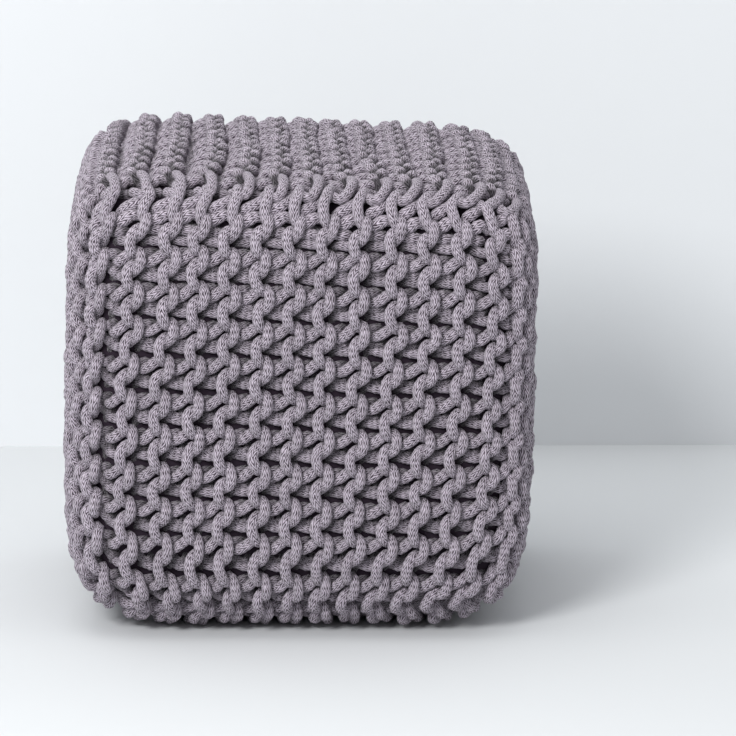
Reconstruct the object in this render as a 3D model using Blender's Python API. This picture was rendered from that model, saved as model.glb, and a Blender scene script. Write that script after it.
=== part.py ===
"""Knitted cube pouf: a ribbed band wrapped round the filling, and a ribbed panel sewn into each side.

Metres, +Z up. The origin is on the floor under the middle of the pouf, and -Y is its front.
Each piece starts as the flat knitting that it is, a grid, and is laid on the stuffed form.
"""

import bmesh
import bpy
import numpy as np

# The stuffed form: a cube blown out into rounded edges, rounder still at its corners
WIDTH = 0.420
DEPTH = 0.420
HEIGHT = 0.423
HALF_SIZE = np.array([WIDTH, DEPTH, HEIGHT]) / 2
# How square it is, seen from above, towards its top and towards its base: 2 is a ball, 20 a sharp block
PLAN_SQUARENESS = 8.0
TOP_SQUARENESS = 7.4
BASE_SQUARENESS = 5.0

# How it stands: pressed flat underneath, its top leaning right, its right shoulder lower than its left
BASE_PRESS = 0.003
LEAN = 0.009
LEAN_ABOUT = 0.542
SHOULDER_DROP = 0.0084

# The knitting: upright ribs with grooves between them
RIBS = 14
RIB_DEPTH = 0.006
RIB_FULLNESS = 0.7
RIB_FLATTENED_BELOW = 0.020

# The seat that each side panel fills: as deep as the knitting is thick, and blunt-pointed at its middle
SEAT_DEPTH = 0.014
SEAT_MIDDLE = 0.186
PANEL_GAP = 0.0004

# Faces across one rib, and along one side of the cube
RIB_STEPS = 4
SIDE_STEPS = 14
ACROSS_STEPS = RIBS * RIB_STEPS

SIDES_OF_CUBE = 4
EVEN_SAMPLES = 2001
WELD = 0.00001
DECIMALS = 5
NEAR_ZERO = 1e-12

YARN_COLOUR = (0.31, 0.27, 0.30, 1.0)
YARN_ROUGHNESS = 0.9


def even_steps(steps, squareness):
    """Places from -1 to 1 on one side of the cube, between which the stuffed form is equally long."""
    place = np.linspace(-1.0, 1.0, EVEN_SAMPLES)
    reach = (1.0 + np.abs(place) ** squareness) ** (-1.0 / squareness)
    run = np.hypot(np.diff(place * reach), np.diff(reach))
    length = np.concatenate([[0.0], np.cumsum(run)])
    return np.interp(np.linspace(0.0, length[-1], steps + 1), length, place)


def stuffed_form(towards):
    """Points of the form and its outward normals, in the directions of points on the unit cube."""
    plan_power = PLAN_SQUARENESS
    power = np.where(towards[:, 2] < 0.0, BASE_SQUARENESS, TOP_SQUARENESS)
    x, y, z = np.abs(towards).T
    plan = x**plan_power + y**plan_power + NEAR_ZERO
    reach = (plan ** (power / plan_power) + z**power) ** (-1.0 / power)
    points = towards * reach[:, None] * HALF_SIZE
    slopes = np.stack(
        [
            plan ** (power / plan_power - 1.0) * x ** (plan_power - 1.0),
            plan ** (power / plan_power - 1.0) * y ** (plan_power - 1.0),
            z ** (power - 1.0),
        ],
        axis=1,
    )
    normals = np.sign(towards) * slopes / HALF_SIZE
    return points, normals / np.linalg.norm(normals, axis=1)[:, None]


def ribbed(towards, rib):
    """The form with its grooves sunk: rib is 1 on top of a rib and 0 in a groove."""
    points, normals = stuffed_form(towards)
    above_floor = points[:, 2] + HALF_SIZE[2] - BASE_PRESS
    pressed = np.clip(above_floor / RIB_FLATTENED_BELOW, 0.0, 1.0)
    return points - normals * (RIB_DEPTH * pressed * (1.0 - rib))[:, None]


def rib_profile(across):
    """Height of the ribs, from 0 to 1, at places from 0 to 1 across the knitting."""
    return np.abs(np.sin(np.pi * RIBS * across)) ** RIB_FULLNESS


def round_the_cube(around):
    """Y and Z on the cube's edge line, at places from 0 to 4: front, top, back and underside."""
    level = even_steps(SIDE_STEPS, PLAN_SQUARENESS)
    sides = [
        np.stack([-np.ones_like(level), level], axis=1),
        np.stack([level, np.ones_like(level)], axis=1),
        np.stack([np.ones_like(level), -level], axis=1),
        np.stack([-level, -np.ones_like(level)], axis=1),
    ]
    line = np.concatenate([side[:-1] for side in sides] + [sides[0][:1]])
    at = around * SIDE_STEPS
    stations = np.arange(len(line))
    return np.stack([np.interp(at, stations, line[:, k]) for k in (0, 1)], axis=1)


def seam_line(side, around):
    """Points of the seam between the band and a side panel, straight between the band's stations."""
    stations = np.arange(SIDES_OF_CUBE * SIDE_STEPS + 1)
    edge = round_the_cube(stations / SIDE_STEPS)
    towards = np.column_stack([np.full(len(edge), side), edge])
    line = ribbed(towards, np.zeros(len(edge)))
    at = around * SIDE_STEPS
    return np.stack([np.interp(at, stations, line[:, k]) for k in range(3)], axis=1)


def settle(points):
    """The pouf as it stands on the floor: leaning, one shoulder low, its underside pressed flat."""
    stood = points.copy()
    height = points[:, 2] / HEIGHT + 0.5
    stood[:, 0] += LEAN * (height - LEAN_ABOUT)
    stood[:, 2] -= SHOULDER_DROP * height * points[:, 0] / HALF_SIZE[0]
    stood[:, 2] = np.maximum(stood[:, 2] + HALF_SIZE[2] - BASE_PRESS, 0.0)
    return np.round(stood, DECIMALS)


def positions(verts):
    return np.array([vert.co for vert in verts])


def move(verts, points):
    for vert, point in zip(verts, points):
        vert.co = point


def knitted_grid(columns, rows):
    """A flat grid, with each of its points at a place from 0 to 1 across it and along it."""
    mesh = bmesh.new()
    bmesh.ops.create_grid(mesh, x_segments=columns, y_segments=rows, size=1.0)
    verts = list(mesh.verts)
    places = (positions(verts)[:, :2] + 1.0) / 2.0
    return mesh, verts, places


def close_inwards(mesh, edges, side, gap):
    """Extrudes an open seam straight in to the seat's floor, and closes it with a blunt fan."""
    made = bmesh.ops.extrude_edge_only(mesh, edges=edges)["geom"]
    verts = [item for item in made if isinstance(item, bmesh.types.BMVert)]
    move(verts, positions(verts) - np.array([side * (SEAT_DEPTH - gap), 0.0, 0.0]))
    rim = [item for item in made if isinstance(item, bmesh.types.BMEdge)]
    floor = bmesh.ops.contextual_create(mesh, geom=[edge for edge in rim if edge.is_boundary])
    middle = bmesh.ops.poke(mesh, faces=floor["faces"])["verts"]
    move(middle, [(side * (SEAT_MIDDLE + gap), 0.0, 0.0)])


def add_piece(name, mesh, collection, material):
    """Settles the finished mesh on the floor and adds it as an object."""
    verts = list(mesh.verts)
    move(verts, settle(positions(verts)))
    bmesh.ops.recalc_face_normals(mesh, faces=mesh.faces)
    data = bpy.data.meshes.new(name)
    mesh.to_mesh(data)
    mesh.free()
    data.materials.append(material)
    data.shade_smooth()
    piece = bpy.data.objects.new(name, data)
    collection.objects.link(piece)
    return piece


def yarn_material(name):
    material = bpy.data.materials.new(name)
    material.use_nodes = True
    surface = material.node_tree.nodes["Principled BSDF"]
    surface.inputs["Base Color"].default_value = YARN_COLOUR
    surface.inputs["Roughness"].default_value = YARN_ROUGHNESS
    surface.inputs["Metallic"].default_value = 0.0
    return material


def add_band(collection):
    """The band runs up the front, over the top, down the back and under, with the filling inside it."""
    mesh, verts, places = knitted_grid(ACROSS_STEPS, SIDES_OF_CUBE * SIDE_STEPS)
    across = np.rint(places[:, 0] * ACROSS_STEPS).astype(int)
    widthways = even_steps(ACROSS_STEPS, PLAN_SQUARENESS)[across]
    around = round_the_cube(places[:, 1] * SIDES_OF_CUBE)
    towards = np.column_stack([widthways, around])
    move(verts, ribbed(towards, rib_profile(places[:, 0])))
    bmesh.ops.remove_doubles(mesh, verts=verts, dist=WELD)
    for side in (-1.0, 1.0):
        edges = [
            edge
            for edge in mesh.edges
            if edge.is_boundary and edge.verts[0].co.x * side > 0.0
        ]
        close_inwards(mesh, edges, side, 0.0)
    add_piece("knitted_band", mesh, collection, yarn_material("band_yarn"))


def add_side_panel(name, side, collection):
    """A side panel is a square of the same knitting with upright ribs, let into the end of the band."""
    mesh, verts, places = knitted_grid(ACROSS_STEPS, SIDE_STEPS)
    across = np.rint(places[:, 0] * ACROSS_STEPS).astype(int)
    up = np.rint(places[:, 1] * SIDE_STEPS).astype(int)
    depthways = even_steps(ACROSS_STEPS, PLAN_SQUARENESS)[across]
    upwards = even_steps(SIDE_STEPS, PLAN_SQUARENESS)[up]
    towards = np.column_stack([np.full(len(verts), side), depthways, upwards])
    points = ribbed(towards, rib_profile(places[:, 0]))

    depth_place, height_place = places[:, 0], places[:, 1]
    around = np.select(
        [across == 0, up == SIDE_STEPS, across == ACROSS_STEPS, up == 0],
        [height_place, 1.0 + depth_place, 3.0 - height_place, 4.0 - depth_place],
        default=-1.0,
    )
    # The panel's edge lies on the band's seam, drawn in by the gap between the two pieces
    on_seam = around >= 0.0
    drawn_in = 1.0 - PANEL_GAP / HALF_SIZE[1:].min()
    seam = seam_line(side, around[on_seam]) * np.array([1.0, drawn_in, drawn_in])
    points[on_seam] = seam
    move(verts, points)
    close_inwards(mesh, [edge for edge in mesh.edges if edge.is_boundary], side, PANEL_GAP)
    add_piece(name, mesh, collection, yarn_material(name + "_yarn"))


def clear_scene():
    for item in list(bpy.data.objects):
        bpy.data.objects.remove(item, do_unlink=True)


clear_scene()
pouf = bpy.data.collections.new("knitted_pouf")
bpy.context.scene.collection.children.link(pouf)
add_band(pouf)
add_side_panel("side_panel_left", -1.0, pouf)
add_side_panel("side_panel_right", 1.0, pouf)
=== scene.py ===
"""Looks of the knitted cube pouf: thick cotton cord knitted in upright ribs over a filled cube."""

import math

import bpy
import numpy as np
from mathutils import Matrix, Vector


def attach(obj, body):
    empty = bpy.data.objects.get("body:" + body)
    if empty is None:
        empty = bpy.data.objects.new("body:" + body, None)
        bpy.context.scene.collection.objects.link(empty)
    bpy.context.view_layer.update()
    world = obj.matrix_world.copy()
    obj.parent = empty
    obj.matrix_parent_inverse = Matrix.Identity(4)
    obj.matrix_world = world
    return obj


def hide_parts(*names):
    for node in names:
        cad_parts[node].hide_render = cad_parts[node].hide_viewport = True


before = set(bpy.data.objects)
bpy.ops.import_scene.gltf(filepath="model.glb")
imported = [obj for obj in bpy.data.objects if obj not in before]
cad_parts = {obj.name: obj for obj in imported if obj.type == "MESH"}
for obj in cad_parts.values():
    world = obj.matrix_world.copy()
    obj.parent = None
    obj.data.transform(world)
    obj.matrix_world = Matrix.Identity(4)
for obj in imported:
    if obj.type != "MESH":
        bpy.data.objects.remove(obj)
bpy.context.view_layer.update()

# ------------------------------------------------------------------------------------------------
# The filled body. Loose filling is packed into the cube until its sides are blown out and its edges
# are round; it leans a little to the right, and its own weight presses it flat on the floor. It shows
# only in the gaps between the cords that are stretched over it, and its near-black colour is painted shade.
# ------------------------------------------------------------------------------------------------

WIDTH = 0.420
DEPTH = 0.420
HEIGHT = 0.423
HALF_SIZE = np.array([WIDTH, DEPTH, HEIGHT]) / 2
PLAN_SQUARENESS = 8.0
TOP_SQUARENESS = 7.4
BASE_SQUARENESS = 5.0
BASE_PRESS = 0.003
LEAN = 0.009
LEAN_ABOUT = 0.542
SHOULDER_DROP = 0.0084

FILLING_BELOW_SURFACE = 0.0175
FILLING_CUTS = 40
NEAR_ZERO = 1e-12


def stuffed_form(towards):
    """Points of the pouf's surface and its outward normals, in the directions of points on a cube."""
    plan_power = PLAN_SQUARENESS
    power = np.where(towards[:, 2] < 0.0, BASE_SQUARENESS, TOP_SQUARENESS)
    x, y, z = np.abs(towards).T
    plan = x**plan_power + y**plan_power + NEAR_ZERO
    reach = (plan ** (power / plan_power) + z**power) ** (-1.0 / power)
    points = towards * reach[:, None] * HALF_SIZE
    slopes = np.stack(
        [
            plan ** (power / plan_power - 1.0) * x ** (plan_power - 1.0),
            plan ** (power / plan_power - 1.0) * y ** (plan_power - 1.0),
            z ** (power - 1.0),
        ],
        axis=1,
    )
    normals = np.sign(towards) * slopes / HALF_SIZE
    return points, normals / np.linalg.norm(normals, axis=1)[:, None]


def settle(points, lowest):
    """Stands the pouf on the floor: leaning, one shoulder low, and nothing lower than it may be."""
    stood = points.copy()
    height = points[:, 2] / HEIGHT + 0.5
    stood[:, 0] += LEAN * (height - LEAN_ABOUT)
    stood[:, 2] -= SHOULDER_DROP * height * points[:, 0] / HALF_SIZE[0]
    stood[:, 2] = np.maximum(stood[:, 2] + HALF_SIZE[2] - BASE_PRESS, lowest)
    return stood


def principled(name):
    """A new material, with its nodes, its links and its Principled shader."""
    material = bpy.data.materials.new(name)
    material.use_nodes = True
    nodes = material.node_tree.nodes
    return material, nodes, material.node_tree.links, nodes["Principled BSDF"]


def painted_shade_filling_material():
    """Felted cloth painted near black: painted shade for the gaps between the cords, which the light hardly
    reaches.
    """
    material, nodes, links, surface = principled("filling_painted_shade")
    place = nodes.new("ShaderNodeTexCoord")
    mottle = nodes.new("ShaderNodeTexNoise")
    mottle.inputs["Scale"].default_value = 160.0
    mottle.inputs["Detail"].default_value = 4.0
    links.new(place.outputs["Object"], mottle.inputs["Vector"])
    # Painted shade: the cloth is coloured near black, for the shade in the gaps between the cords
    painted_shading_ramp = nodes.new("ShaderNodeValToRGB")
    painted_shading_ramp.color_ramp.elements[0].color = (0.018, 0.012, 0.019, 1.0)
    painted_shading_ramp.color_ramp.elements[1].color = (0.042, 0.031, 0.043, 1.0)
    links.new(mottle.outputs["Fac"], painted_shading_ramp.inputs["Fac"])
    links.new(painted_shading_ramp.outputs["Color"], surface.inputs["Base Color"])
    nap = nodes.new("ShaderNodeBump")
    nap.inputs["Strength"].default_value = 0.5
    nap.inputs["Distance"].default_value = 0.001
    links.new(mottle.outputs["Fac"], nap.inputs["Height"])
    links.new(nap.outputs["Normal"], surface.inputs["Normal"])
    surface.inputs["Roughness"].default_value = 1.0
    surface.inputs["Specular IOR Level"].default_value = 0.05
    return material


bpy.ops.object.select_all(action="DESELECT")
bpy.ops.mesh.primitive_cube_add(size=2.0)
filled_body = bpy.context.active_object
filled_body.name = "filled_body"
bpy.ops.object.mode_set(mode="EDIT")
bpy.ops.mesh.subdivide(number_cuts=FILLING_CUTS)
bpy.ops.object.mode_set(mode="OBJECT")

cube = np.array([vertex.co for vertex in filled_body.data.vertices])
surface_points, surface_normals = stuffed_form(cube)
inner = settle(surface_points - surface_normals * FILLING_BELOW_SURFACE, FILLING_BELOW_SURFACE)
filled_body.data.vertices.foreach_set("co", inner.ravel())
filled_body.data.update()
filled_body.data.shade_smooth()
filled_body.data.materials.append(painted_shade_filling_material())
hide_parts("knitted_band", "side_panel_left", "side_panel_right")
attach(filled_body, "root")

# ------------------------------------------------------------------------------------------------
# The band. One strip of garter stitch in cotton cord as thick as a finger, fourteen ribs wide, goes
# up the front, over the top, down the back and under. Each rib is two rows of cord that hook into
# each other: the heads of one row curl to the right, and the feet of the next curl over them.
# ------------------------------------------------------------------------------------------------

RIBS = 14
RIB_WIDTH = 0.0285
CORD_RADIUS = 0.0047
CORD_SIDES_RESOLUTION = 3
ROUND_THE_BAND = 50.0
BAND_STITCHES = 48
EVEN_SAMPLES = 2001
SIDES_OF_CUBE = 4

# Routes of the cord in one stitch of each row: across in ribs and down in stitches from the middle of
# the stitch, the depth of the cord's middle under the pouf's surface in millimetres, and its thickness
HEAD_ROW = [
    (-0.020, -0.225, 14.8, 0.98),
    (0.070, -0.240, 14.6, 0.98),
    (0.140, -0.230, 12.6, 0.98),
    (0.184, -0.195, 9.4, 0.99),
    (0.208, -0.145, 6.4, 1.00),
    (0.223, -0.075, 4.4, 1.01),
    (0.227, 0.015, 3.5, 1.02),
    (0.206, 0.110, 3.5, 1.02),
    (0.164, 0.200, 4.6, 1.00),
    (0.108, 0.275, 7.2, 0.98),
    (0.046, 0.335, 10.4, 0.96),
    (-0.040, 0.405, 12.8, 0.94),
    (-0.170, 0.470, 13.6, 0.93),
    (-0.320, 0.500, 13.4, 0.93),
    (-0.460, 0.500, 13.6, 0.93),
    (-0.600, 0.475, 15.2, 0.95),
    (-0.730, 0.460, 18.0, 0.98),
    (-0.820, 0.530, 20.8, 1.00),
    (-0.860, 0.700, 22.6, 1.00),
    (-0.840, 0.890, 22.0, 1.00),
    (-0.780, 1.030, 20.0, 1.00),
    (-0.690, 1.095, 16.6, 1.00),
    (-0.590, 1.095, 13.4, 1.00),
    (-0.490, 1.055, 11.4, 1.02),
    (-0.395, 0.995, 10.4, 1.04),
    (-0.300, 0.925, 10.4, 1.04),
    (-0.205, 0.860, 11.4, 1.02),
    (-0.112, 0.805, 13.2, 1.00),
]
FOOT_ROW = [
    (0.160, 0.180, 14.2, 0.96),
    (0.060, 0.170, 12.2, 0.98),
    (-0.032, 0.190, 8.8, 1.00),
    (-0.106, 0.248, 5.8, 1.03),
    (-0.156, 0.335, 4.2, 1.05),
    (-0.174, 0.435, 3.6, 1.06),
    (-0.160, 0.540, 3.6, 1.06),
    (-0.126, 0.640, 3.9, 1.06),
    (-0.086, 0.735, 5.0, 1.03),
    (-0.042, 0.815, 7.8, 1.00),
    (0.020, 0.880, 11.4, 0.97),
    (0.110, 0.925, 13.8, 0.94),
    (0.220, 0.945, 14.8, 0.93),
    (0.340, 0.935, 15.0, 0.93),
    (0.460, 0.905, 15.6, 0.93),
    (0.570, 0.880, 17.8, 0.95),
    (0.655, 0.905, 20.8, 0.98),
    (0.710, 0.995, 23.0, 1.00),
    (0.725, 1.130, 23.2, 1.00),
    (0.720, 1.265, 20.8, 0.98),
    (0.690, 1.365, 17.2, 0.96),
    (0.625, 1.415, 14.8, 0.96),
    (0.540, 1.415, 14.6, 0.96),
    (0.450, 1.390, 16.0, 0.96),
    (0.355, 1.320, 17.6, 0.96),
    (0.260, 1.235, 16.8, 0.96),
]

# Where the strip bends over the top edge of the front, one stitch of each row is drawn out long. Its
# routes go by places down the strip, and a fifth number says how far the cord goes with the top's ribs
EDGE_HEAD = [
    (0.120, -1.500, 9.5, 1.00, 1.0),
    (0.200, -1.250, 6.2, 1.00, 1.0),
    (0.260, -0.850, 4.4, 1.02, 1.0),
    (0.220, -0.500, 4.2, 1.02, 1.0),
    (0.140, -0.240, 4.7, 1.02, 1.0),
    (0.020, -0.090, 5.6, 1.02, 1.0),
    (-0.120, -0.100, 6.6, 1.00, 1.0),
    (-0.230, -0.240, 8.2, 1.00, 1.0),
    (-0.310, -0.380, 11.0, 1.00, 0.9),
    (-0.060, -0.270, 13.4, 1.00, 0.0),
    (-0.170, -0.090, 12.4, 1.08, 0.0),
    (-0.320, 0.100, 11.4, 1.18, 0.0),
    (-0.480, 0.220, 11.4, 1.20, 0.0),
    (-0.640, 0.310, 12.4, 1.16, 0.0),
    (-0.760, 0.390, 15.0, 1.08, 0.0),
    (-0.780, 0.530, 17.6, 1.00, 0.0),
    (-0.740, 0.680, 18.0, 1.02, 0.0),
    (-0.700, 0.770, 15.8, 1.10, 0.0),
    (-0.620, 0.780, 13.4, 1.20, 0.0),
    (-0.520, 0.730, 12.0, 1.26, 0.0),
    (-0.410, 0.650, 11.2, 1.28, 0.0),
    (-0.290, 0.580, 11.2, 1.22, 0.0),
    (-0.170, 0.570, 12.4, 1.06, 0.0),
]
EDGE_FOOT = [
    (0.250, -0.760, 13.0, 1.00, 0.2),
    (0.160, -0.670, 10.8, 1.00, 0.2),
    (0.100, -0.520, 8.0, 1.02, 0.1),
    (0.060, -0.300, 5.6, 1.05, 0.1),
    (0.030, -0.080, 4.6, 1.08, 0.1),
    (0.000, 0.160, 4.3, 1.10, 0.0),
    (-0.020, 0.380, 4.5, 1.08, 0.0),
    (0.000, 0.580, 5.4, 1.05, 0.0),
    (0.050, 0.740, 7.6, 1.00, 0.0),
    (0.140, 0.840, 11.0, 1.00, 0.0),
    (0.270, 0.860, 13.2, 1.00, 0.0),
    (0.400, 0.820, 14.8, 1.00, 0.0),
    (0.520, 0.820, 18.0, 1.00, 0.0),
    (0.630, 0.880, 21.5, 1.00, 0.0),
    (0.690, 1.020, 22.8, 1.00, 0.0),
    (0.750, 1.040, 19.4, 1.00, 0.0),
    (0.750, 1.100, 15.8, 1.06, 0.0),
    (0.670, 1.130, 13.8, 1.12, 0.0),
    (0.550, 1.120, 13.2, 1.16, 0.0),
    (0.440, 1.110, 14.4, 1.12, 0.0),
    (0.340, 1.100, 16.0, 1.02, 0.0),
    (0.250, 1.100, 16.2, 0.98, 0.0),
]
MILLIMETRE = 0.001

# The cord is drawn in short steps where it shows, and in long ones behind
ROUTE_STEPS = 8
STEP_IN_VIEW = 0.0039
STEP_BEHIND = 0.0085
BEHIND_DEPTH = 0.0150
BEHIND_FADE = 0.004

# Places of the stitches down the front from its top edge, and on over the top, down the back and under:
# they are drawn out where the strip bends over an edge
STITCH = [-10, -7, -5, -4, -3, -2, -1, 0, 0.4, 0.7, 1, 2, 9, 10, 11, 12, 38]
STITCH_PLACE = [
    -11.10, -8.20, -6.35, -5.40, -4.30, -3.20, -2.05, -1.05, -0.48, 0.52, 0.92, 1.98,
    9.09, 10.20, 11.75, 13.10, 38.90,
]

# Middles of the ribs, in rib widths from the left edge of the front, and how far each of the fourteen
# strays to the right at places round the band: over the back edge, the top, its front edge, the front
FIRST_RIB = 0.467
RIB_PITCH = 1.0345
OVER_BACK = [0.12, 0.12, 0.15, 0.15, 0.15, 0.15, 0.12, 0.10, 0.10, 0.10, 0.12, 0.15, 0.12, 0.08]
TOP_BACK = [0.10, 0.20, 0.35, 0.41, 0.47, 0.44, 0.33, 0.18, 0.15, 0.12, 0.23, 0.37, 0.20, 0.10]
TOP_MIDDLE = [0.00, 0.28, 0.34, 0.57, 0.64, 0.59, 0.49, 0.41, 0.28, 0.25, 0.34, 0.45, 0.36, 0.20]
TOP_FRONT = [0.05, 0.15, 0.28, 0.53, 0.55, 0.65, 0.58, 0.49, 0.51, 0.39, 0.38, 0.44, 0.24, 0.10]
EDGE = [0.06, 0.08, 0.12, 0.20, 0.30, 0.42, 0.54, 0.61, 0.62, 0.59, 0.59, 0.58, 0.30, 0.10]
UPPER_FRONT = [-0.08, 0.17, 0.21, 0.08, 0.01, 0.05, -0.01, -0.01, 0.07, 0.13, 0.18, 0.20, 0.28, 0.39]
MID_UPPER = [-0.10, 0.18, 0.21, 0.10, 0.08, 0.06, 0.00, -0.04, 0.05, 0.13, 0.17, 0.23, 0.29, 0.34]
MIDDLE = [-0.28, -0.05, 0.03, 0.02, 0.05, 0.07, 0.06, 0.03, 0.06, 0.10, 0.10, 0.11, 0.18, 0.28]
LOWER_FRONT = [-0.24, 0.01, 0.10, 0.08, 0.10, 0.12, 0.11, 0.08, 0.02, 0.00, -0.02, -0.03, -0.01, 0.14]
STRAY_PLACE = [-12.5, -10.6, -4.5, -2.2, -1.0, 0.9, 3.5, 6.0, 12.0, 37.5]
STRAYS = np.array([
    OVER_BACK, TOP_BACK, TOP_MIDDLE, TOP_FRONT, EDGE, UPPER_FRONT, MID_UPPER, MIDDLE, LOWER_FRONT, OVER_BACK
])

# On the top the stitches are packed closer: their loops arch up steeply towards the front, and the end
# where each one dives under the next is painted darker, as painted shade. Below the top's front edge their
# legs lie closer
TOP_STITCHES = range(37, 48)
TOP_SQUEEZE = 0.12
TOP_SUNK = 0.0027
TOP_ARCH = {"head": 0.025, "foot": 0.012}
TOP_ARCH_REACH = 0.20
TOP_SHADED_FROM = {"head": 0.03, "foot": 0.12}
TOP_SHADED_REACH = 0.15
TOP_SHADE = 0.080
LOOP_HALF_WIDTH = 0.17
CLOSER_STITCHES = {47: 0.04, 1: 0.08, 2: 0.08, 3: 0.04}

# How uneven the hand knitting is: strays across in ribs, down in stitches and inwards in metres, and
# shares by which a loop's width, its height and the cord's thickness vary
UNEVEN_ACROSS = 0.040
UNEVEN_DOWN = 0.030
UNEVEN_DEPTH = 0.0006
UNEVEN_LOOP = 0.10
UNEVEN_LOOP_DOWN = 0.2
UNEVEN_THICKNESS = 0.03
knitter = np.random.default_rng(7)


def even_places(share, squareness):
    """Places from -1 to 1 on one side of the cube for shares from 0 to 1 of its length on the form."""
    place = np.linspace(-1.0, 1.0, EVEN_SAMPLES)
    reach = (1.0 + np.abs(place) ** squareness) ** (-1.0 / squareness)
    run = np.hypot(np.diff(place * reach), np.diff(reach))
    length = np.concatenate([[0.0], np.cumsum(run)])
    return np.interp(share * length[-1], length, place)


def round_the_cube(around):
    """Y and Z on the cube's edge line, at places from 0 to 4: front, top, back and underside."""
    turn = np.mod(around, SIDES_OF_CUBE)
    side = np.minimum(np.floor(turn).astype(int), SIDES_OF_CUBE - 1)
    level = even_places(turn - side, PLAN_SQUARENESS)
    edge = np.ones_like(level)
    return np.choose(side, [-edge, level, edge, -level]), np.choose(side, [level, edge, -level, -edge])


def on_band(across, down, depth, thickness):
    """Points on or under the form: across in ribs from the left edge, down in stitch places."""
    share = across / RIBS
    past_edge = np.maximum(np.maximum(-share, share - 1.0), 0.0)
    drawn_in = 1.0 - past_edge * RIBS * RIB_WIDTH / HALF_SIZE[0]
    y, z = round_the_cube(1.0 - down * SIDES_OF_CUBE / ROUND_THE_BAND)
    sideways = even_places(np.clip(share, 0.0, 1.0), PLAN_SQUARENESS)
    towards = np.column_stack([sideways, y * drawn_in, z * drawn_in])
    points, normals = stuffed_form(towards)
    return settle(points - normals * depth[:, None], CORD_RADIUS * thickness)


def smooth_through(knots):
    """Points on a smooth line through closely spaced knots, with ROUTE_STEPS from each to the next."""
    before, here, there, beyond = knots[:-3], knots[1:-2], knots[2:-1], knots[3:]
    t = (np.arange(ROUTE_STEPS) / ROUTE_STEPS)[None, :, None]
    before, here, there, beyond = (knot[:, None, :] for knot in (before, here, there, beyond))
    line = 0.5 * (
        2.0 * here
        + (there - before) * t
        + (2.0 * before - 5.0 * here + 4.0 * there - beyond) * t**2
        + (3.0 * here - before - 3.0 * there + beyond) * t**3
    )
    return line.reshape(-1, knots.shape[1])


def knitted_row(kind, route, stitches):
    """Knots of one row: across from its rib's middle, down in stitches, depth, thickness and painted shade.
    """
    stitch = np.array(route)
    stitch[:, 2] *= MILLIMETRE
    in_front = np.clip(1.0 - stitch[:, 2] / BEHIND_DEPTH, 0.0, 1.0)
    middle, crest = np.average(stitch[:, :2], axis=0, weights=in_front**3)
    in_loop = np.abs(stitch[:, 0] - middle) < LOOP_HALF_WIDTH
    short_of_crest = np.clip(crest - stitch[:, 1], -TOP_ARCH_REACH, TOP_ARCH_REACH)
    knots = []
    for number in stitches:
        made = np.column_stack([stitch, np.zeros(len(stitch))])
        if number in TOP_STITCHES:
            made[:, 0] *= 1.0 - in_front * TOP_SQUEEZE
            made[:, 2] += in_front * (short_of_crest * TOP_ARCH[kind] + TOP_SUNK)
            # Past its crest each top loop is given painted shade, which the material turns into darker
            # colour where it dives
            past_crest = stitch[:, 1] - crest - TOP_SHADED_FROM[kind]
            made[:, 4] = in_loop * np.clip(past_crest, 0.0, TOP_SHADED_REACH) * TOP_SHADE
        closer = CLOSER_STITCHES.get(number, 0.0) * (1.0 - in_front)
        made[:, 3] *= 1.0 + closer
        if kind == "foot":
            made[:, 1] -= closer
        made[:, 0] *= 1.0 + in_front * knitter.normal(0.0, UNEVEN_LOOP)
        made[:, 1] += number + in_front * knitter.normal(0.0, UNEVEN_LOOP * UNEVEN_LOOP_DOWN)
        made[:, 2] += knitter.normal(0.0, UNEVEN_DEPTH)
        made[:, 3] *= 1.0 + knitter.normal(0.0, UNEVEN_THICKNESS)
        knots.append(made)
    return np.concatenate(knots)


def evenly_uneven(ribs, stitches):
    """Strays of the knitting, for each stitch across and down, as hands make it."""
    return knitter.normal(0.0, 1.0, (2, ribs, stitches))


def stray_at(strays, across, down, wraps):
    """The strays between their stitches, smoothly."""
    ribs, stitches = strays.shape[1:]
    column = np.clip(across, 0.0, ribs - 1.001)
    line = np.mod(down, stitches) if wraps else np.clip(down, 0.0, stitches - 1.001)
    left, upper = np.floor(column).astype(int), np.floor(line).astype(int) % stitches
    right, lower = left + 1, (upper + 1) % stitches
    x, y = column - np.floor(column), line - np.floor(line)
    x, y = x * x * (3.0 - 2.0 * x), y * y * (3.0 - 2.0 * y)
    return (
        strays[:, left, upper] * (1 - x) * (1 - y)
        + strays[:, right, upper] * x * (1 - y)
        + strays[:, left, lower] * (1 - x) * y
        + strays[:, right, lower] * x * y
    )


def step_along(points, depth, thickness, shade, closed):
    """Thins a fine line to the steps in which the cord is drawn: their points, thickness, depth with the
    painted shade added, and how far along the cord each one is.
    """
    if closed:
        points = np.vstack([points, points[:1]])
        depth, thickness = np.append(depth, depth[0]), np.append(thickness, thickness[0])
        shade = np.append(shade, shade[0])
    run = np.linalg.norm(np.diff(points, axis=0), axis=1)
    along = np.concatenate([[0.0], np.cumsum(run)])
    past_view = (depth[1:] + depth[:-1]) / 2 - BEHIND_DEPTH + BEHIND_FADE / 2
    behind = np.clip(past_view, 0.0, BEHIND_FADE) / BEHIND_FADE
    step = STEP_IN_VIEW + behind * (STEP_BEHIND - STEP_IN_VIEW)
    steps = np.concatenate([[0.0], np.cumsum(run / step)])
    at = np.interp(np.linspace(0.0, steps[-1], int(round(steps[-1])) + 1), steps, along)
    drawn = np.stack([np.interp(at, along, points[:, k]) for k in range(3)], axis=1)
    thick, shaded = np.interp(at, along, thickness), np.interp(at, along, depth + shade)
    return (drawn[:-1], thick[:-1], shaded, at) if closed else (drawn, thick, shaded, at)


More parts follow.
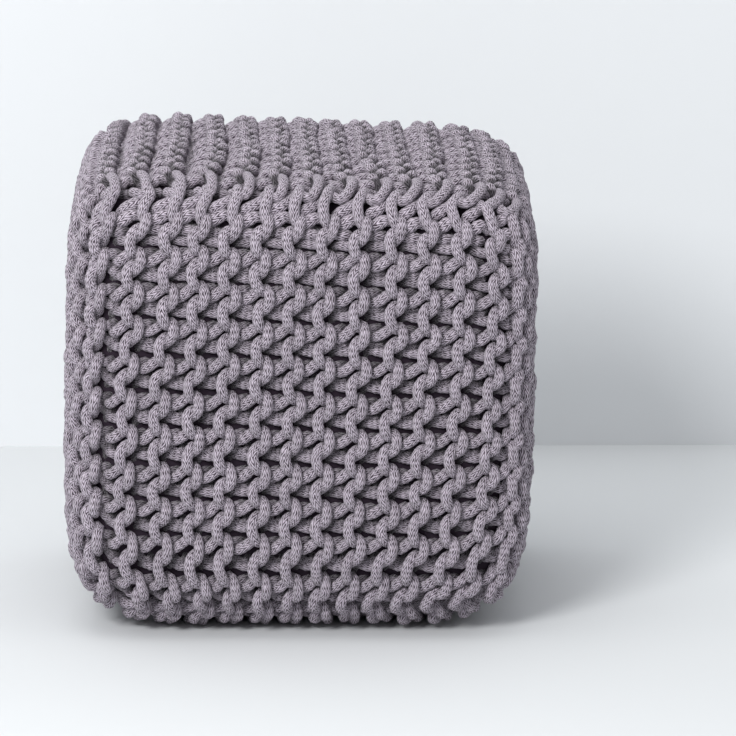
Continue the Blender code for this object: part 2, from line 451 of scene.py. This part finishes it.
def cord_mesh(name, points, thickness, depth, along, closed):
    """One row of cord as a round tube, with its length in metres along its UV map's X, and its depth with
    the painted shade added, by which the material paints it darker.
    """
    line = bpy.data.curves.new(name, "CURVE")
    line.dimensions = "3D"
    line.bevel_depth = CORD_RADIUS
    line.bevel_resolution = CORD_SIDES_RESOLUTION
    line.use_fill_caps = not closed
    cord = line.splines.new("POLY")
    cord.points.add(len(points) - 1)
    cord.points.foreach_set("co", np.column_stack([points, np.ones(len(points))]).ravel())
    cord.points.foreach_set("radius", thickness)
    cord.use_cyclic_u = closed
    holder = bpy.data.objects.new(name, line)
    bpy.context.scene.collection.objects.link(holder)
    drawn = holder.evaluated_get(bpy.context.evaluated_depsgraph_get())
    mesh = bpy.data.meshes.new_from_object(drawn)
    bpy.data.objects.remove(holder)
    bpy.data.curves.remove(line)

    uv = np.empty(len(mesh.loops) * 2)
    mesh.uv_layers["UVMap"].data.foreach_get("uv", uv)
    uv = uv.reshape(-1, 2)
    steps = uv[:, 0] * (len(along) - 1)
    uv[:, 0] = np.interp(steps, np.arange(len(along)), along)
    mesh.uv_layers["UVMap"].data.foreach_set("uv", uv.ravel())
    # The depth with the painted shade added, by which the material paints the cord darker as painted shade
    under = mesh.attributes.new("depth_and_painted_shade", "FLOAT", "CORNER")
    under.data.foreach_set("value", np.interp(steps, np.arange(len(along)), depth / MILLIMETRE))
    return mesh


def join_rows(name, meshes, material):
    """Joins rows of cord into one piece that rides on the pouf's body."""
    rows = []
    for number, mesh in enumerate(meshes):
        row = bpy.data.objects.new(f"{name}_row_{number}", mesh)
        bpy.context.scene.collection.objects.link(row)
        rows.append(row)
    bpy.ops.object.select_all(action="DESELECT")
    for row in rows:
        row.select_set(True)
    bpy.context.view_layer.objects.active = rows[0]
    bpy.ops.object.join()
    piece = bpy.context.active_object
    piece.name = name
    piece.data.name = name
    piece.data.materials.clear()
    piece.data.materials.append(material)
    piece.data.shade_smooth()
    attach(piece, "root")
    return piece


# The cord's surface is itself a fine knitted tube: columns of small slanting stitches, pulled uneven,
# painted lighter where they stand up and with a dark speck of painted shade where they part, a fuzz of
# cotton on them, and a dye colour that changes from place to place
V_COLUMNS = 6.0
V_PITCH = 0.0044
V_SLANT = 1.4
PULLED_UNEVEN = 0.42
SWAYED_UNEVEN = 0.16
# Depths in millimetres over which the cord's colour is painted down to 0.15 of itself: painted shade where
# it dives behind other cords
IN_FULL_LIGHT_ABOVE = 12.5
IN_THE_DARK_BELOW = 19.5


def math_node(nodes, links, operation, first, second=None, third=None):
    """The value of a sum on up to three numbers or sockets."""
    node = nodes.new("ShaderNodeMath")
    node.operation = operation
    for socket, value in zip(node.inputs, (first, second, third)):
        if value is None:
            continue
        if isinstance(value, (int, float)):
            socket.default_value = value
        else:
            links.new(value, socket)
    return node.outputs["Value"]


def noise_node(nodes, links, place, scale, detail):
    """Noise fixed to the piece, from 0 to 1."""
    noise = nodes.new("ShaderNodeTexNoise")
    noise.inputs["Scale"].default_value = scale
    noise.inputs["Detail"].default_value = detail
    noise.inputs["Roughness"].default_value = 0.6
    links.new(place.outputs["Object"], noise.inputs["Vector"])
    return noise.outputs["Fac"]


def cord_material():
    """Matt cotton cord: its fine knit in relief, with painted highlights where it stands up, and painted
    shade where stitches part and where it dives behind.
    """
    material, nodes, links, surface = principled("mauve_grey_cotton_cord")
    map_node = nodes.new("ShaderNodeUVMap")
    map_node.uv_map = "UVMap"
    split = nodes.new("ShaderNodeSeparateXYZ")
    links.new(map_node.outputs["UV"], split.inputs["Vector"])
    place = nodes.new("ShaderNodeTexCoord")
    pull = noise_node(nodes, links, place, 150.0, 1.0)
    sway = noise_node(nodes, links, place, 210.0, 1.0)
    fibre = noise_node(nodes, links, place, 620.0, 2.0)
    tuft = noise_node(nodes, links, place, 260.0, 1.0)
    batch = noise_node(nodes, links, place, 22.0, 2.0)

    def calc(operation, *values):
        return math_node(nodes, links, operation, *values)

    pulled = calc("MULTIPLY_ADD", pull, PULLED_UNEVEN * 2.0, -PULLED_UNEVEN)
    swayed = calc("MULTIPLY_ADD", sway, SWAYED_UNEVEN * 2.0, -SWAYED_UNEVEN)
    column = calc("FRACT", calc("MULTIPLY_ADD", split.outputs["Y"], V_COLUMNS, swayed))
    from_middle = calc("ABSOLUTE", calc("MULTIPLY_ADD", column, 2.0, -1.0))
    stitch = calc("MULTIPLY_ADD", split.outputs["X"], 1.0 / V_PITCH, pulled)
    rise = calc("MULTIPLY_ADD", from_middle, V_SLANT, stitch)
    wave = calc("MULTIPLY_ADD", calc("SINE", calc("MULTIPLY", rise, 2.0 * math.pi)), 0.5, 0.5)
    leg = calc("SINE", calc("MULTIPLY", from_middle, math.pi))
    braid = calc("MULTIPLY_ADD", wave, 0.70, calc("MULTIPLY", leg, 0.20))
    height = calc("MULTIPLY_ADD", fibre, 0.40, calc("MULTIPLY_ADD", tuft, 0.60, braid))

    relief = nodes.new("ShaderNodeBump")
    relief.inputs["Strength"].default_value = 1.0
    relief.inputs["Distance"].default_value = 0.0017
    links.new(height, relief.inputs["Height"])
    links.new(relief.outputs["Normal"], surface.inputs["Normal"])

    # Painted light and shade: the knit's raised strokes are painted lighter as highlights, its grooves and
    # the specks where stitches part near black as shade, and the fuzz varies the colour at random
    painted_shading_ramp = nodes.new("ShaderNodeValToRGB")
    painted_shading_ramp.color_ramp.elements[0].position = 0.42
    painted_shading_ramp.color_ramp.elements[0].color = (0.040, 0.027, 0.039, 1.0)
    painted_shading_ramp.color_ramp.elements[1].position = 0.82
    painted_shading_ramp.color_ramp.elements[1].color = (0.64, 0.565, 0.66, 1.0)
    between = painted_shading_ramp.color_ramp.elements.new(0.60)
    between.color = (0.258, 0.221, 0.260, 1.0)
    links.new(calc("MULTIPLY", height, 0.72), painted_shading_ramp.inputs["Fac"])

    # Painted shade: the deeper the cord lies, and past the crests of the top's loops, the darker its colour
    # is painted
    under = nodes.new("ShaderNodeAttribute")
    under.attribute_name = "depth_and_painted_shade"
    painted_depth_shade = nodes.new("ShaderNodeMapRange")
    painted_depth_shade.interpolation_type = "SMOOTHSTEP"
    painted_depth_shade.inputs["From Min"].default_value = IN_FULL_LIGHT_ABOVE
    painted_depth_shade.inputs["From Max"].default_value = IN_THE_DARK_BELOW
    painted_depth_shade.inputs["To Min"].default_value = 1.0
    painted_depth_shade.inputs["To Max"].default_value = 0.15
    links.new(under.outputs["Fac"], painted_depth_shade.inputs["Value"])
    shade = nodes.new("ShaderNodeHueSaturation")
    links.new(painted_shading_ramp.outputs["Color"], shade.inputs["Color"])
    uneven_dye = calc("MULTIPLY_ADD", batch, 0.30, 0.85)
    links.new(calc("MULTIPLY", uneven_dye, painted_depth_shade.outputs["Result"]), shade.inputs["Value"])
    links.new(shade.outputs["Color"], surface.inputs["Base Color"])
    surface.inputs["Roughness"].default_value = 0.92
    surface.inputs["Specular IOR Level"].default_value = 0.18
    surface.inputs["Sheen Weight"].default_value = 0.34
    surface.inputs["Sheen Roughness"].default_value = 0.45
    surface.inputs["Sheen Tint"].default_value = (0.86, 0.82, 0.86, 1.0)
    return material


cotton_cord = cord_material()
band_strays = evenly_uneven(RIBS + 2, BAND_STITCHES)


def band_place(stitch):
    """The place down the band of a stitch, or between two stitches, also more than once round."""
    rounds = np.floor((stitch - STITCH[0]) / BAND_STITCHES)
    return np.interp(stitch - rounds * BAND_STITCHES, STITCH, STITCH_PLACE) + rounds * ROUND_THE_BAND


def band_row(kind, route, edge_route, rib):
    """One row of the band, all the way round the pouf, from the first stitch below the front's top edge."""
    plain = knitted_row(kind, route, range(1, BAND_STITCHES))
    strays = stray_at(band_strays, rib + 1.0 + plain[:, 0], plain[:, 1], True)
    plain[:, 1] = band_place(plain[:, 1] + UNEVEN_DOWN * strays[1])
    from_back_edge = np.mod(plain[:, 1] - STRAY_PLACE[0], ROUND_THE_BAND) + STRAY_PLACE[0]
    plain[:, 0] += UNEVEN_ACROSS * strays[0] + np.interp(from_back_edge, STRAY_PLACE, STRAYS[:, rib])

    edge = np.array(edge_route)
    with_top = edge[:, 4].copy()
    edge[:, 4] = 0.0
    edge[:, 2] = edge[:, 2] * MILLIMETRE + knitter.normal(0.0, UNEVEN_DEPTH)
    edge[:, 0] += with_top * EDGE[rib] + (1.0 - with_top) * UPPER_FRONT[rib]
    edge[:, 0] += knitter.normal(0.0, UNEVEN_ACROSS)
    edge[:, 1] += knitter.normal(0.0, UNEVEN_DOWN) + ROUND_THE_BAND

    knots = np.vstack([plain, edge])
    whole_round = np.array([0.0, ROUND_THE_BAND, 0.0, 0.0, 0.0])
    knots = np.vstack([knots[-1:] - whole_round, knots, knots[:2] + whole_round])
    across, down, depth, thickness, shade = smooth_through(knots).T
    middle = FIRST_RIB + RIB_PITCH * (rib + across)
    points = on_band(middle, down, depth, thickness)
    return step_along(points, depth, thickness, shade, True)


RIB_GROUPS = [(0, 3), (3, 7), (7, 11), (11, 14)]
for group, (first, last) in enumerate(RIB_GROUPS):
    meshes = []
    for rib in range(first, last):
        for kind, route, edge_route in (("head", HEAD_ROW, EDGE_HEAD), ("foot", FOOT_ROW, EDGE_FOOT)):
            meshes.append(cord_mesh("band_row", *band_row(kind, route, edge_route, rib), True))
    join_rows(f"band_ribs_{group + 1}", meshes, cotton_cord)

# ------------------------------------------------------------------------------------------------
# The side panels. A square of the same garter stitch in the same cord closes each end of the band.
# Its ribs stand upright too, and it is sewn to the band edge to edge.
# ------------------------------------------------------------------------------------------------

PANEL_STITCHES = 12
PANEL_ENDS_DEPTH = 0.020
PANEL_ROW_PAST_END = 0.2
PANEL_TURN_PAST_END = 0.3
WELD = 0.00001
PANEL_INSET = {-1.0: 0.035, 1.0: 0.075}


def on_panel(side, across, down, depth, thickness):
    """Points of a side panel: across in ribs to the right and down in stitches, seen from outside."""
    kept = 1.0 - PANEL_INSET[side]
    sideways = even_places(np.clip(across / RIBS, 0.0, 1.0), PLAN_SQUARENESS) * side * kept
    upwards = -even_places(np.clip(down / PANEL_STITCHES, 0.0, 1.0), PLAN_SQUARENESS) * kept
    towards = np.column_stack([np.full(len(across), side), sideways, upwards])
    points, normals = stuffed_form(towards)
    return settle(points - normals * depth[:, None], CORD_RADIUS * thickness)


def panel_row(side, kind, route, rib, strays):
    """One row of a side panel, whose ends turn in behind the seams."""
    knots = knitted_row(kind, route, range(PANEL_STITCHES))
    past_top = knots[:, 1] > -PANEL_ROW_PAST_END
    short_of_base = knots[:, 1] < PANEL_STITCHES + PANEL_ROW_PAST_END
    knots = knots[past_top & short_of_base]
    start, end = knots[0].copy(), knots[-1].copy()
    start[1:3] = (-PANEL_TURN_PAST_END, PANEL_ENDS_DEPTH)
    end[1:3] = (PANEL_STITCHES + PANEL_TURN_PAST_END, PANEL_ENDS_DEPTH)
    knots = np.vstack([start, start, knots, end, end])
    across, stitch, depth, thickness, shade = smooth_through(knots).T
    strayed = stray_at(strays, rib + 1.0 + across, stitch, False)
    down = stitch + UNEVEN_DOWN * strayed[1]
    middle = rib + 0.5 + across + UNEVEN_ACROSS * strayed[0]
    points = on_panel(side, middle, down, depth, thickness)
    return step_along(points, depth, thickness, shade, False)


for side, name in ((-1.0, "side_ribs_left"), (1.0, "side_ribs_right")):
    strays = evenly_uneven(RIBS + 2, PANEL_STITCHES + 2)
    meshes = []
    for rib in range(RIBS):
        for kind, route in (("head", HEAD_ROW), ("foot", FOOT_ROW)):
            meshes.append(cord_mesh("panel_row", *panel_row(side, kind, route, rib, strays), False))
    join_rows(name, meshes, cotton_cord)
    bpy.ops.object.mode_set(mode="EDIT")
    bpy.ops.mesh.select_all(action="SELECT")
    bpy.ops.mesh.remove_doubles(threshold=WELD)
    bpy.ops.object.mode_set(mode="OBJECT")

# ------------------------------------------------------------------------------------------------
# The studio: a pale floor and a pale wall close behind, a large soft lamp high on the left in front,
# a weaker one near the ceiling, and soft light from all round. The camera stands far off, a little
# above the pouf.
# ------------------------------------------------------------------------------------------------

WALL_BEHIND = 0.63
FLOOR_SIZE = 14.0
LAMPS_AIM = (0.0, 0.0, 0.2)


def plain_material(name, colour):
    """Matt paint of one colour."""
    material, _, _, surface = principled(name)
    surface.inputs["Base Color"].default_value = colour
    surface.inputs["Roughness"].default_value = 0.95
    surface.inputs["Specular IOR Level"].default_value = 0.1
    return material


bpy.ops.object.select_all(action="DESELECT")
bpy.ops.mesh.primitive_plane_add(size=FLOOR_SIZE, location=(0.0, WALL_BEHIND - FLOOR_SIZE / 2, 0.0))
floor = bpy.context.active_object
floor.name = "floor"
floor.data.materials.append(plain_material("pale_floor", (0.695, 0.712, 0.722, 1.0)))
bpy.ops.mesh.primitive_plane_add(
    size=FLOOR_SIZE,
    location=(0.0, WALL_BEHIND, FLOOR_SIZE / 2),
    rotation=(math.radians(90.0), 0.0, 0.0),
)
wall = bpy.context.active_object
wall.name = "wall"
wall.data.materials.append(plain_material("pale_wall", (0.765, 0.785, 0.802, 1.0)))

# From behind, the wall is seen through, so that the pouf's back shows too
wall_nodes, wall_links = wall.active_material.node_tree.nodes, wall.active_material.node_tree.links
seen_from = wall_nodes.new("ShaderNodeNewGeometry")
see_through = wall_nodes.new("ShaderNodeBsdfTransparent")
either = wall_nodes.new("ShaderNodeMixShader")
wall_links.new(seen_from.outputs["Backfacing"], either.inputs["Fac"])
wall_links.new(wall_nodes["Principled BSDF"].outputs["BSDF"], either.inputs[1])
wall_links.new(see_through.outputs["BSDF"], either.inputs[2])
wall_links.new(either.outputs["Shader"], wall_nodes["Material Output"].inputs["Surface"])


def area_lamp(name, place, size, power):
    """A round soft lamp, turned towards the middle of the pouf."""
    data = bpy.data.lights.new(name, "AREA")
    data.shape = "DISK"
    data.size = size
    data.energy = power
    lamp = bpy.data.objects.new(name, data)
    lamp.location = place
    lamp.rotation_euler = (Vector(LAMPS_AIM) - Vector(place)).to_track_quat("-Z", "Y").to_euler()
    bpy.context.scene.collection.objects.link(lamp)


area_lamp("soft_lamp", (-1.25, -2.9, 2.05), 1.2, 94.0)
area_lamp("ceiling_lamp", (-0.3, -0.4, 2.9), 2.0, 21.0)
world = bpy.data.worlds.new("soft_room_light")
world.use_nodes = True
background = world.node_tree.nodes["Background"]
background.inputs["Color"].default_value = (0.97, 0.98, 1.0, 1.0)
background.inputs["Strength"].default_value = 0.56
bpy.context.scene.world = world
bpy.context.scene.view_settings.view_transform = "Standard"

CAMERA_DISTANCE = 5.43
CAMERA_ELEVATION = math.radians(11.4)
CAMERA_AZIMUTH = math.radians(-0.6)
CAMERA_ASIDE = 0.062
CAMERA_AIM_HEIGHT = 0.2085
LENS = 289.6
camera_data = bpy.data.cameras.new("camera")
camera_data.lens = LENS
camera_data.sensor_width = 36.0
camera_data.clip_end = 100.0
camera = bpy.data.objects.new("camera", camera_data)
bpy.context.scene.collection.objects.link(camera)
camera.location = (
    CAMERA_ASIDE + CAMERA_DISTANCE * math.sin(CAMERA_AZIMUTH) * math.cos(CAMERA_ELEVATION),
    -CAMERA_DISTANCE * math.cos(CAMERA_AZIMUTH) * math.cos(CAMERA_ELEVATION),
    CAMERA_AIM_HEIGHT + CAMERA_DISTANCE * math.sin(CAMERA_ELEVATION),
)
aim = Vector((CAMERA_ASIDE, 0.0, CAMERA_AIM_HEIGHT))
camera.rotation_euler = (aim - camera.location).to_track_quat("-Z", "Y").to_euler()
bpy.context.scene.camera = camera
